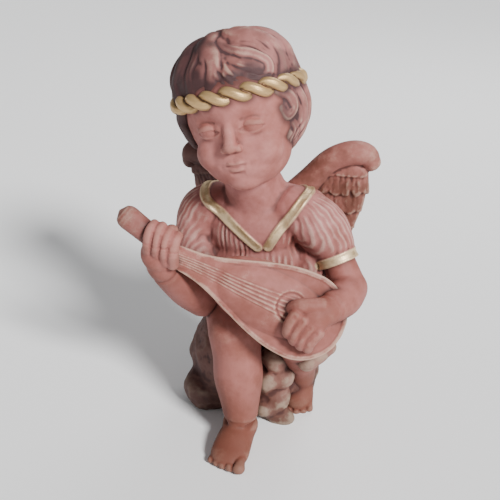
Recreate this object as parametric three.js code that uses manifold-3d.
// Terracotta cherub statue: a winged child sits on a rock and plays a lute.
// It is one casting, so it is one solid. Millimetres, +Z up, and the child faces -Y.
// The origin is on the ground, under the middle of the casting.
import * as THREE from "three";
import { mergeVertices } from "three/addons/utils/BufferGeometryUtils.js";
import Module from "manifold-3d";

const wasm = await Module();
wasm.setup();

// Driving sizes, in millimetres.
const STATUE_HEIGHT = 345;
const ROPE_RADIUS = 5.6;
const ROPE_TWIST_BULGE = 0.28;
const TRIM_WIDTH = 6.4;
const TRIM_RISE = 1.8;
const LUTE_BODY_LENGTH = 108;
const LUTE_BOUT_RADIUS = 36;
const LUTE_DEPTH = 26;
const LUTE_NECK_RADIUS = 9;
const SOUND_HOLE_RADIUS = 11.5;
const INCISED_LINE = 1.1;
const WING_SWEEP = 6;
const RIGHT_WING_SWEEP = 16;
const SHOULDER_LEAN = -6;
const PLEAT_RADIUS = 2.3;
const PLEATS = 9;

// The figure is laid out on a sculptor's grid with this many parts to its full height.
const GRID_PARTS = 345;
const PART = STATUE_HEIGHT / GRID_PARTS;

const TERRACOTTA = new THREE.MeshStandardMaterial({ color: 0xa85f4c, roughness: 0.72, metalness: 0 });

/** A point of the sculptor's grid, in millimetres. */
const at = (x, y, z) => new THREE.Vector3(x, y, z).multiplyScalar(PART);

/** Degrees to radians. */
const deg = THREE.MathUtils.degToRad;

/** A geometry as a manifold-3d solid. */
function solid(geometry) {
  const bare = geometry.clone();
  bare.deleteAttribute("normal");
  bare.deleteAttribute("uv");
  const merged = mergeVertices(bare, 1e-4);
  const mesh = new wasm.Mesh({
    numProp: 3,
    vertProperties: new Float32Array(merged.attributes.position.array),
    triVerts: new Uint32Array(merged.index.array),
  });
  return new wasm.Manifold(mesh);
}

/** A mirrored geometry with its faces turned back outwards. */
function flipFaces(geometry) {
  if (!geometry.index) geometry.setIndex([...Array(geometry.attributes.position.count).keys()]);
  const index = geometry.index;
  for (let i = 0; i < index.count; i += 3) {
    const first = index.getX(i);
    index.setX(i, index.getX(i + 1));
    index.setX(i + 1, first);
  }
  return geometry;
}

/** The union of solids, geometries or nested lists of them. */
function fuse(...pieces) {
  const solids = pieces.flat(Infinity).map((piece) => (piece.isBufferGeometry ? solid(piece) : piece));
  return solids.reduce((sum, next) => sum.add(next));
}

/** An ellipsoid: centre in millimetres, radii in grid parts, turn as Euler degrees. */
function ball(centre, [rx, ry, rz], { turn = [0, 0, 0], around = 12, up = 8 } = {}) {
  const geometry = new THREE.SphereGeometry(1, around, up).rotateX(Math.PI / 2);
  geometry.scale(rx * PART, ry * PART, rz * PART);
  const euler = new THREE.Euler(...turn.map(deg), "YXZ");
  geometry.applyMatrix4(new THREE.Matrix4().makeRotationFromEuler(euler));
  return geometry.translate(centre.x, centre.y, centre.z);
}

/**
 * A round-ended limb: a capsule bent along a smooth curve through its stations.
 * Each station is { p, r }: its place in millimetres and its radius in grid parts.
 * flat squeezes the section along the direction up.
 */
function limb(stations, { sides = 8, rings = 1, caps = 2, flat = 1, up = new THREE.Vector3(0, 0, 1) } = {}) {
  const curve = new THREE.CatmullRomCurve3(stations.map((s) => s.p), false, "centripetal");
  const spans = stations.length - 1;
  const radiusAt = (t) => {
    const span = Math.min(Math.floor(t * spans), spans - 1);
    const within = THREE.MathUtils.smoothstep(t * spans - span, 0, 1);
    return PART * THREE.MathUtils.lerp(stations[span].r, stations[span + 1].r, within);
  };
  const geometry = new THREE.CapsuleGeometry(1, 1, caps, sides, spans * rings);
  const place = geometry.attributes.position;
  const vertex = new THREE.Vector3();
  for (let i = 0; i < place.count; i++) {
    vertex.fromBufferAttribute(place, i);
    const t = THREE.MathUtils.clamp(vertex.y + 0.5, 0, 1);
    const beyond = vertex.y + 0.5 - t;
    const along = curve.getTangent(t);
    const high = up.clone().addScaledVector(along, -up.dot(along)).normalize();
    const side = new THREE.Vector3().crossVectors(along, high);
    const radius = radiusAt(t);
    const point = curve.getPoint(t);
    point.addScaledVector(along, beyond * radius);
    point.addScaledVector(side, vertex.x * radius);
    point.addScaledVector(high, vertex.z * radius * flat);
    place.setXYZ(i, point.x, point.y, point.z);
  }
  return geometry;
}

/** Stations from rows of [x, y, z, radius], all in grid parts. */
const through = (...rows) => rows.map(([x, y, z, r]) => ({ p: at(x, y, z), r }));

// Landmarks of the body, in grid parts.
const SPINE_X = 4;
const CHEST_HEIGHT = 180;
const NECK_BASE = 210;

// A ray from outside finds the surface that a trim or a fold lies on.
const raycaster = new THREE.Raycaster();

/** The first point of the form that a ray from start in a direction meets, or null. */
function settle(form, start, direction) {
  raycaster.set(start, direction.clone().normalize());
  const [hit] = raycaster.intersectObjects(form, false);
  return hit ? hit.point : null;
}

/** Geometries as meshes that rays can meet. */
const asForm = (geometries) => geometries.map((g) => new THREE.Mesh(g, new THREE.MeshBasicMaterial({ side: 2 })));

// Rock: one boulder of broad, worn facets, with a ledge on the left and a foot at its front.
const ROCK_RELIEF = 4;

/** How far the boulder's skin stands out or sinks in a direction. */
function rockRelief({ x, y, z }) {
  const broad = Math.sin(3.1 * x + 1.7 * z) * Math.cos(2.6 * y - 1.3 * z);
  const fine = Math.sin(6.3 * x - 4.1 * y + 2) * Math.sin(5.2 * z + 3.4 * y);
  return ROCK_RELIEF * (broad + 0.6 * fine);
}

/** A lump of rock about a centre, with radii in grid parts. */
function boulder(centre, radii, { around = 9, up = 6 } = {}) {
  const lump = new THREE.SphereGeometry(1, around, up).rotateX(Math.PI / 2);
  const place = lump.attributes.position;
  const vertex = new THREE.Vector3();
  for (let i = 0; i < place.count; i++) {
    vertex.fromBufferAttribute(place, i);
    const relief = rockRelief(vertex);
    vertex.set(...radii.map((radius, axis) => (radius + relief) * vertex.getComponent(axis)));
    vertex.multiplyScalar(PART).add(centre);
    place.setXYZ(i, vertex.x, vertex.y, vertex.z);
  }
  return lump;
}

function makeRock() {
  return [
    boulder(at(-8, 8, 42), [52, 48, 54], { around: 15, up: 9 }),
    boulder(at(18, 34, 30), [38, 26, 34]),
    boulder(at(50, -4, 84), [30, 30, 18]),
    boulder(at(66, -34, 84), [11, 14, 11], { around: 7, up: 5 }),
    boulder(at(21, -24, 30), [18, 18, 34], { around: 8, up: 6 }),
    boulder(at(-36, -16, 16), [26, 24, 22], { around: 8, up: 5 }),
  ];
}

// Legs: the right one hangs down the front of the rock, the left one is tucked back beside it.
const TOE_RADII = [4.9, 3.5, 3.3, 3.1, 2.9];
const FOOT_HALF_WIDTH = 16.5;

/** Five toes in an arc; inward is +1 where the great toe lies towards +X. */
function makeToes(ball, inward, dip) {
  const toes = [];
  let across = FOOT_HALF_WIDTH;
  TOE_RADII.forEach((radius, i) => {
    across -= radius * 0.92;
    const set = 1.2 * i + 0.35 * i * i;
    const root = new THREE.Vector3(across * inward * 0.92, set + 2, 0);
    const tip = new THREE.Vector3(across * inward, set - 11, radius - 5.5);
    for (const point of [root, tip]) {
      point.applyAxisAngle(new THREE.Vector3(1, 0, 0), deg(dip)).multiplyScalar(PART).add(ball);
    }
    toes.push(limb([{ p: root, r: radius * 0.9 }, { p: tip, r: radius }], { sides: 5, caps: 1 }));
    across -= radius * 0.92;
  });
  return toes;
}

function makeLegs() {
  const calf = { sides: 8 };
  const rightThigh = limb(through([-20, 0, 110, 24], [-8, -34, 110, 24], [-3, -50, 104, 22.5]), calf);
  const rightShin = limb(
    through([-3, -50, 103, 22.5], [0, -54, 82, 20.5], [2, -57, 62, 20.5], [4, -60, 38, 16.5], [5, -62, 16, 15]),
    calf,
  );
  const rightFoot = limb(through([5, -56, 10, 13], [4, -74, 11, 16], [3, -90, 7.5, 17]), { flat: 0.7 });
  const leftThigh = limb(through([24, 0, 110, 24], [40, -28, 108, 23], [50, -42, 102, 20]), {});
  const leftShin = limb(through([50, -42, 102, 20], [48, -24, 76, 17], [46, -8, 48, 13], [45, -1, 32, 12]), {});
  const leftFoot = limb(through([44, 9, 34, 10], [44, 0, 22, 13], [43, -6, 11, 13.5]), {
    flat: 0.85,
    up: new THREE.Vector3(0, -1, 0.4),
  });
  return [
    rightThigh,
    rightShin,
    rightFoot,
    leftThigh,
    leftShin,
    leftFoot,
    makeToes(at(3, -94, 6), 1, 0),
    makeToes(at(42, -8, 8), -1, 40),
  ];
}

// Torso: a smocked tunic over a round belly.
function makeTorso() {
  return [
    ball(at(2, 0, 116), [46, 38, 34]),
    ball(at(9, -3, 152), [49, 34, 36]),
    ball(at(3, -3, 180), [46, 32, 32], { turn: [0, -7, 0] }),
    ball(at(56, -12, 152), [19, 19, 24], { around: 9, up: 6 }),
    limb(through([-42, 2, 186, 17], [3, 4, 200, 17], [46, 2, 198, 17]), { flat: 0.9 }),
  ];
}

function makeNeck() {
  return limb(through([3, 2, 188, 34], [3, -2, 208, 27], [0, -8, 226, 24], [-3, -12, 250, 25]), { sides: 10 });
}

function makeSleeves() {
  return [
    limb(through([-26, -3, 194, 20], [-45, -5, 186, 21], [-49, -14, 168, 18]), { sides: 10 }),
    limb(through([32, -4, 200, 21], [58, -8, 188, 23], [70, -12, 170, 18]), { sides: 10 }),
  ];
}

// Arms and hands.
const LEFT_SHOULDER = at(64, -8, 182);
const LEFT_ELBOW = at(86, -22, 142);

function makeArms() {
    const rightUpper = limb(through([-46, -6, 178, 16], [-40, -30, 146, 15.5], [-31, -45, 126, 15]));
  const rightFore = limb(through([-31, -45, 127, 15], [-42, -62, 148, 15], [-52, -80, 172, 12.5]));
  const leftUpper = limb([
    { p: LEFT_SHOULDER, r: 14.5 },
    { p: LEFT_SHOULDER.clone().lerp(LEFT_ELBOW, 0.55), r: 14.5 },
    { p: LEFT_ELBOW, r: 15.5 },
  ]);
  const leftFore = limb(through([86, -22, 143, 15.5], [82, -44, 141, 15], [71, -64, 137, 12.5]));
  return [rightUpper, rightFore, leftUpper, leftFore];
}

const FINGERS = 4;

function makeHands() {
  const plump = { sides: 5, caps: 1 };
  const pieces = [
    ball(at(-54, -88, 188), [14.5, 10.5, 17], { turn: [0, -20, 0], around: 8, up: 6 }),
    ball(at(62, -73, 133), [15, 11, 15], { turn: [0, 40, 0], around: 8, up: 6 }),
  ];
  for (let i = 0; i < FINGERS; i++) {
    const x = -63 + 7 * i;
    const z = 203 - 3.4 * i;
    pieces.push(limb(through([x, -93, z - 6, 4.7], [x + 1, -92, z + 4, 4.5], [x + 3, -82, z + 9, 4]), plump));
  }
  for (let i = 0; i < FINGERS; i++) {
    const x = 50 + 5.2 * i;
    const z = 134 - 4.2 * i;
    pieces.push(limb(through([x + 5, -80, z, 5], [x - 1, -86, z - 6, 4.8], [x - 3, -82, z - 12, 4.2]), plump));
  }
  pieces.push(limb(through([64, -76, 142, 6.4], [56, -82, 149, 5.4], [49, -81, 152, 4.8]), plump));
  return pieces;
}

// Lute: a pear-shaped body with a flat face, and a neck that ends in a rounded head.
const LUTE_CENTRE = at(57, -68, 138);
const LUTE_NECK_START = at(-39, -82, 185);
const LUTE_NECK_END = at(-76, -84, 215);
const LUTE_FACING = new THREE.Vector3(0.2, -0.9, 0.36);

/** Frame of the lute: X along the body to the neck, Z out of its face. */
function luteFrame() {
  const along = LUTE_NECK_START.clone().sub(LUTE_CENTRE).normalize();
  const out = LUTE_FACING.clone().addScaledVector(along, -LUTE_FACING.dot(along)).normalize();
  const across = new THREE.Vector3().crossVectors(out, along);
  return new THREE.Matrix4().makeBasis(along, across, out).setPosition(LUTE_CENTRE);
}

/** Half the width of the body at a distance from the bout's centre towards the neck. */
function luteHalfWidth(s) {
  const bout = LUTE_BOUT_RADIUS * PART;
  const neck = LUTE_NECK_RADIUS * PART;
  if (s <= 0) return Math.sqrt(Math.max(bout * bout - s * s, 0));
  const share = s / (LUTE_BODY_LENGTH * PART);
  const swell = Math.cos(Math.min(share, 1) * Math.PI * 0.5) ** 1.9;
  return neck + (bout - neck) * swell;
}

function makeLute() {
  const frame = luteFrame();
  const bout = LUTE_BOUT_RADIUS * PART;
  const length = LUTE_BODY_LENGTH * PART;
  const depth = LUTE_DEPTH * PART;
  const outline = new THREE.Shape();
  const steps = 6;
  const edge = [];
  for (let i = 0; i <= steps; i++) {
    const turn = Math.PI * 0.5 + (Math.PI * 0.5 * i) / steps;
    edge.push([bout * Math.cos(turn), bout * Math.sin(turn)]);
  }
  const upper = [];
  for (let i = steps; i > 0; i--) {
    const s = (length * i) / steps;
    upper.push([s, luteHalfWidth(s)]);
  }
  const half = [...upper, ...edge];
  const points = [...half, ...half.slice(0, -1).reverse().map(([s, t]) => [s, -t])];
  points.forEach(([s, t], i) => (i ? outline.lineTo(s, t) : outline.moveTo(s, t)));
  outline.closePath();
  const bevel = depth * 0.34;
  const plate = new THREE.ExtrudeGeometry(outline, {
    depth: depth * 0.22,
    bevelEnabled: true,
    bevelSize: bevel * 0.4,
    bevelOffset: -bevel * 0.4,
    bevelThickness: bevel * 0.5,
    bevelSegments: 1,
  });
  plate.translate(0, 0, -depth * 0.22 - bevel * 0.5);
  const bowl = new THREE.SphereGeometry(1, 10, 7);
  bowl.scale(length * 0.62, bout * 0.86, depth * 0.8);
  bowl.translate(length * 0.22, 0, -depth * 0.42);
  plate.applyMatrix4(frame);
  bowl.applyMatrix4(frame);
  const neckStart = LUTE_NECK_START.clone().lerp(LUTE_CENTRE, 0.1);
  const neck = limb(
    [
      { p: neckStart, r: LUTE_NECK_RADIUS * 0.95 },
      { p: LUTE_NECK_START.clone().lerp(LUTE_NECK_END, 0.5), r: LUTE_NECK_RADIUS },
      { p: LUTE_NECK_END, r: LUTE_NECK_RADIUS * 1.05 },
    ],
    { flat: 0.9, up: LUTE_FACING },
  );
  return fuse(plate, bowl, neck).subtract(makeLuteCuts(frame));
}

/** The ring round the sound hole and the strings, cut into the face. */
function makeLuteCuts(frame) {
  const line = INCISED_LINE * PART;
  const strings = 3;
  const first = 0.06 * LUTE_BODY_LENGTH * PART;
  const last = 1.0 * LUTE_BODY_LENGTH * PART;
  const ring = new THREE.TorusGeometry(SOUND_HOLE_RADIUS * PART, line, 3, 12);
  ring.translate(0.11 * LUTE_BODY_LENGTH * PART, 0, 0);
  ring.applyMatrix4(frame);
  const cuts = [ring];
  for (let i = 0; i < strings; i++) {
    const spread = (i - (strings - 1) / 2) * 4.4 * PART;
    const groove = new THREE.CylinderGeometry(line * 0.7, line * 0.7, last - first, 3, 1);
    groove.rotateZ(-Math.PI / 2 - 0.03 * (i - (strings - 1) / 2));
    groove.translate((first + last) / 2, -2 * PART + spread, 0);
    groove.applyMatrix4(frame);
    cuts.push(groove);
  }
  return fuse(cuts);
}

// Head: everything on it is placed in its own tilted frame.
const HEAD_CENTRE = at(-4, -13, 283);
const HEAD_TURN = new THREE.Euler(deg(-2), deg(-14), deg(0), "YXZ");
const HEAD_MATRIX = new THREE.Matrix4().makeRotationFromEuler(HEAD_TURN).setPosition(HEAD_CENTRE);

/** Geometry made in the head's frame, moved to its place. */
const onHead = (geometry) => geometry.applyMatrix4(HEAD_MATRIX);

// The hair is measured round the rope band, which presses it in.
const BAND_CENTRE = [-3, 5, 14];
const BAND_TURN = [-10, -3, 0];
const HAIR_RADII = [54, 54, 48.5];
const HAIR_DROP = 61;
const HAIR_RELIEF = 3;
const CURLS_AROUND = 12;
const BAND_PINCH = 6;
const ROPE_RING = [50.5, 51.5];

function makeFace() {
  const round = { around: 8, up: 6 };
  const small = { around: 7, up: 5 };
  return [
    ball(at(0, 0, 0), [45, 48, 48]),
    ball(at(0, -17, -24), [37, 33, 31]),
    ball(at(-17, -31, -22), [17, 15, 16], round),
    ball(at(17, -31, -22), [17, 15, 16], round),
    ball(at(0, -37, -45), [15, 12, 10.5], round),
    limb(through([0, -46, 3, 4.5], [0, -51, -8, 5], [0, -53, -14, 6.2]), { sides: 6 }),
    ball(at(-5, -50, -15.5), [4.4, 4.4, 3.8], small),
    ball(at(5, -50, -15.5), [4.4, 4.4, 3.8], small),
    limb(through([-10, -45, -27.5, 2.2], [0, -50, -26.5, 3.2], [10, -45, -27.5, 2.2]), { sides: 5, caps: 1 }),
    limb(through([-8, -45, -31, 2.2], [0, -49, -32, 3.6], [8, -45, -31, 2.2]), { sides: 5, caps: 1 }),
    ball(at(-17, -42, 0), [9, 6.5, 5.4], small),
    ball(at(17, -42, 0), [9, 6.5, 5.4], small),
  ].map(onHead);
}

/** How proud the hair stands at a bearing from the face and a height, both in radians. */
function curlRelief(bearing, height) {
  const swirl = 0.5 * Math.sin(2.6 * height + 1.2 * Math.sin(2 * bearing));
  const strand = Math.cos(CURLS_AROUND * (bearing + swirl));
  const wave = Math.cos(7 * height + 2 * Math.sin(3 * bearing));
  const crown = Math.cos(height);
  return crown * (HAIR_RELIEF * strand + 0.5 * HAIR_RELIEF * wave);
}

/** A geometry built round the band's centre, moved to its place on the head. */
function onBand(geometry) {
  const turn = new THREE.Matrix4().makeRotationFromEuler(new THREE.Euler(...BAND_TURN.map(deg), "YXZ"));
  return onHead(geometry.applyMatrix4(turn.setPosition(at(...BAND_CENTRE))));
}

/** The mass of hair in wavy locks: domed over the crown, fuller below the band, open round the face. */
function makeHair() {
  const rings = 10;
  const mass = new THREE.SphereGeometry(1, 3 * CURLS_AROUND, rings).rotateX(Math.PI / 2);
  const place = mass.attributes.position;
  const out = new THREE.Vector3();
  for (let i = 0; i < place.count; i++) {
    out.fromBufferAttribute(place, i);
    const height = Math.asin(THREE.MathUtils.clamp(out.z, -1, 1));
    const onEquator = Math.abs(height) < Math.PI / rings / 2;
    const proud = curlRelief(Math.atan2(out.x, -out.y), height) - (onEquator ? BAND_PINCH : 0);
    const full = height < 0 ? Math.max(Math.cos(height), 0.01) ** -0.5 : 1;
    const x = (HAIR_RADII[0] + proud) * out.x * full;
    const y = (HAIR_RADII[1] + proud) * out.y * full;
    const z = ((height < 0 ? HAIR_DROP : HAIR_RADII[2]) + proud) * out.z;
    place.setXYZ(i, x * PART, y * PART, z * PART);
  }
  const face = ball(at(2, -62, -38), [44, 44, 56]);
  return solid(onBand(mass)).subtract(solid(onHead(face)));
}

/** Rope headband: a ring whose section has two lobes that wind round it. */
function makeRope() {
  const lobes = 2;
  const windings = 10;
  const rope = new THREE.TorusGeometry(1, 0.1, 5, 60);
  const place = rope.attributes.position;
  const vertex = new THREE.Vector3();
  for (let i = 0; i < place.count; i++) {
    vertex.fromBufferAttribute(place, i);
    const turn = Math.atan2(vertex.y, vertex.x);
    const around = Math.atan2(vertex.z, Math.hypot(vertex.x, vertex.y) - 1);
    const section = ROPE_RADIUS * (1 + ROPE_TWIST_BULGE * Math.cos(lobes * around + windings * turn));
    const out = section * Math.cos(around);
    const x = (ROPE_RING[0] + out) * Math.cos(turn);
    const y = (ROPE_RING[1] + out) * Math.sin(turn);
    place.setXYZ(i, x * PART, y * PART, section * Math.sin(around) * PART);
  }
  return onBand(rope);
}

// Trims: a ribbon round the neckline, meeting in a point in front, and one round the left sleeve.
const FROM_FRONT = new THREE.Vector3(0, 1, 0);
const FROM_ABOVE = new THREE.Vector3(0, 0, -1);
const NECKLINE_RIGHT = [[15, 172], [5, 180], [-11, 188], [-26, 196], [-36, 204]];
const NECKLINE_LEFT = [[42, 207], [33, 199], [24, 190], [18, 181], [16, 172]];
const SHOULDER_LINE = [[-41, -4], [-36, 12], [-18, 24], [4, 28], [28, 24], [45, 12], [47, -4]];

/** Stations of a ribbon laid on the form, seen from the front at (x, z) or from above at (x, y). */
function laid(form, places, direction) {
  const above = direction === FROM_ABOVE;
  return places.map(([x, other]) => {
    const start = above ? at(x, other, GRID_PARTS) : at(x, -GRID_PARTS, other);
    const p = settle(form, start, direction) ?? (above ? at(x, other, NECK_BASE) : at(x, 0, other));
    return { p: p.addScaledVector(direction, (-TRIM_RISE / 2) * PART), r: TRIM_WIDTH / 2 };
  });
}

function makeTrims(form) {
  const flat = TRIM_RISE / (TRIM_WIDTH / 2);
  const neckline = [
    [laid(form, NECKLINE_RIGHT, FROM_FRONT), new THREE.Vector3(0, -1, 0.4)],
    [laid(form, NECKLINE_LEFT, FROM_FRONT), new THREE.Vector3(0, -1, 0.4)],
  ];
  const [right, left] = neckline.map(([stations]) => stations);
  const over = [right.at(-1), ...laid(form, SHOULDER_LINE, FROM_ABOVE), left[0]];
  neckline.push([over, new THREE.Vector3(0, 0, 1)]);
  const ribbons = neckline.map(([stations, up]) => limb(stations, { sides: 6, caps: 1, flat, up }));
  const sleeveBand = new THREE.TorusGeometry(14.2 * PART, (TRIM_WIDTH / 2) * PART, 6, 14);
  sleeveBand.scale(1, 1, 1.3);
  const axis = LEFT_ELBOW.clone().sub(LEFT_SHOULDER).normalize();
  sleeveBand.applyQuaternion(new THREE.Quaternion().setFromUnitVectors(new THREE.Vector3(0, 0, 1), axis));
  const seat = LEFT_SHOULDER.clone().lerp(LEFT_ELBOW, 0.45);
  return [...ribbons, sleeveBand.translate(seat.x, seat.y, seat.z)];
}

/** Gathers of the tunic, hanging from the neckline. */
function makePleats(form) {
  const pleats = [];
  const line = new THREE.CatmullRomCurve3(
    [[-34, 196], [-22, 191], [-6, 182], [10, 172], [22, 173], [30, 185], [42, 195], [54, 196]].map(([x, z]) => at(x, 0, z)),
  );
  for (let i = 0; i < PLEATS; i++) {
    const start = line.getPoint(i / (PLEATS - 1)).divideScalar(PART);
    const lean = (start.x - SPINE_X) * 0.2;
    const stations = [0, 0.5, 1].map((t) => {
      const x = start.x + lean * t;
      const z = start.z - 24 * t;
      const p = settle(form, at(x, -GRID_PARTS, z), FROM_FRONT) ?? at(x, 0, z);
      return { p, r: PLEAT_RADIUS * (t === 0.5 ? 1.2 : 0.8) };
    });
    pleats.push(limb(stations, { sides: 4, caps: 1 }));
  }
  return pleats;
}

// Wings: a rolled leading edge over rows of feathers, each row prouder than the one under it.
const WING_DEPTH = 36;
const RIGHT_WING_SCALE = 0.92;
const FEATHER_ROWS = [
  { low: 218, high: 240, inner: 40, outer: 88, half: 8.5, feathers: 3 },
  { low: 201, high: 226, inner: 26, outer: 87, half: 7.3, feathers: 4 },
  { low: 184, high: 208, inner: 18, outer: 82, half: 6.2, feathers: 4 },
  { low: 163, high: 190, inner: 14, outer: 75, half: 5.1, feathers: 3 },
  { low: 138, high: 170, inner: 12, outer: 66, half: 4, feathers: 3 },
];
const WING_ROLL = through(
  [12, -10, 182, 14], [34, -2, 206, 11], [52, 0, 225, 10.5], [70, 0, 233, 10], [84, 0, 234, 9.5], [89, 0, 222, 7.5],
);

/** The height of the rolled edge at a distance from the spine, in grid parts. */
function rollHeight(x) {
  const path = WING_ROLL.map(({ p }) => p.clone().divideScalar(PART));
  const next = path.findIndex((p) => p.x >= x);
  if (next <= 0) return next ? path.at(-1).z : path[0].z;
  const share = (x - path[next - 1].x) / (path[next].x - path[next - 1].x);
  return THREE.MathUtils.lerp(path[next - 1].z, path[next].z, share);
}

/** One row of feathers: a plate whose lower edge is scalloped and whose top is under the roll. */
function makeFeatherRow({ low, high, inner, outer, half, feathers }) {
  const shape = new THREE.Shape();
  const width = (outer - inner) / feathers;
  const top = (x) => Math.min(high, rollHeight(x));
  const steps = 3;
  shape.moveTo(inner, top(inner));
  for (let i = 0; i < feathers; i++) {
    for (let k = i ? 1 : 0; k <= steps; k++) {
      const share = k / steps;
      const sag = Math.sin(Math.PI * share) ** 0.8;
      const x = inner + width * (i + share);
      shape.lineTo(x, Math.min(low + 0.62 * width * (1 - sag), top(x) - 3));
    }
  }
  for (let i = feathers; i > 0; i--) {
    const x = inner + width * (i - 0.2);
    shape.lineTo(x, top(x));
  }
  const plate = new THREE.ExtrudeGeometry(shape, { depth: 2 * half, bevelEnabled: false });
  return plate.translate(0, 0, -half).rotateX(Math.PI / 2).scale(PART, PART, PART);
}

/** The pieces of a wing on the figure's left, measured from the spine. */
function makeLeftWing() {
  return [...FEATHER_ROWS.map(makeFeatherRow), limb(WING_ROLL, { up: new THREE.Vector3(0, 1, 0) })];
}

/** A wing's solid placed on the back and leant with the shoulders. */
function hangWing(wing, sweep, lean) {
  const hinge = at(SPINE_X, WING_DEPTH, CHEST_HEIGHT);
  const lowered = fuse(wing).translate([0, 0, -CHEST_HEIGHT * PART]);
  return lowered.rotate([0, 0, sweep]).rotate([0, lean, 0]).translate(hinge.toArray());
}

function makeWings() {
  const left = makeLeftWing();
  const right = makeLeftWing().map((piece) => piece.scale(-RIGHT_WING_SCALE, 1, 1));
  right.forEach((piece) => flipFaces(piece));
  return [hangWing(left, WING_SWEEP, 0), hangWing(right, -RIGHT_WING_SWEEP, SHOULDER_LEAN)];
}

function makeStatue() {
  const torso = makeTorso();
  const sleeves = makeSleeves();
  const form = asForm([...torso, ...sleeves, makeNeck()]);
  const body = fuse(
    makeRock(),
    makeLegs(),
    torso,
    makeNeck(),
    sleeves,
    makeArms(),
    makeTrims(form),
    makePleats(form),
    makeWings(),
    makeFace(),
    makeHair(),
    makeRope(),
  );
  const played = body.add(makeLute()).add(fuse(makeHands()));
  const ground = new THREE.BoxGeometry(STATUE_HEIGHT, STATUE_HEIGHT, STATUE_HEIGHT);
  ground.translate(0, 0, -STATUE_HEIGHT / 2);
  return played.subtract(solid(ground));
}

/** The triangles of a solid's outer skin: a casting holds no pocket sealed inside it. */
function outerSkin({ triVerts, numVert }) {
  const skin = Array.from({ length: numVert }, (_, i) => i);
  const find = (i) => {
    let root = i;
    while (skin[root] !== root) root = skin[root] = skin[skin[root]];
    return root;
  };
  for (let i = 0; i < triVerts.length; i += 3) {
    skin[find(triVerts[i + 1])] = find(triVerts[i]);
    skin[find(triVerts[i + 2])] = find(triVerts[i]);
  }
  const sizes = new Map();
  triVerts.forEach((v) => sizes.set(find(v), (sizes.get(find(v)) ?? 0) + 1));
  const outer = [...sizes].reduce((best, next) => (next[1] > best[1] ? next : best))[0];
  return triVerts.filter((v) => find(v) === outer);
}

/** A solid as a three.js geometry, standing on the ground with its middle over the origin. */
function toGeometry(shape) {
  const mesh = shape.getMesh();
  const geometry = new THREE.BufferGeometry();
  geometry.setAttribute("position", new THREE.BufferAttribute(mesh.vertProperties, 3));
  geometry.setIndex(new THREE.BufferAttribute(outerSkin(mesh), 1));
  const loose = geometry.toNonIndexed();
  loose.computeBoundingBox();
  const middle = loose.boundingBox.getCenter(new THREE.Vector3());
  return loose.translate(-middle.x, -middle.y, 0);
}

const statue = new THREE.Group();
const casting = new THREE.Mesh(toGeometry(makeStatue()), TERRACOTTA);
casting.name = "angel_statue";
statue.add(casting);

export default statue;
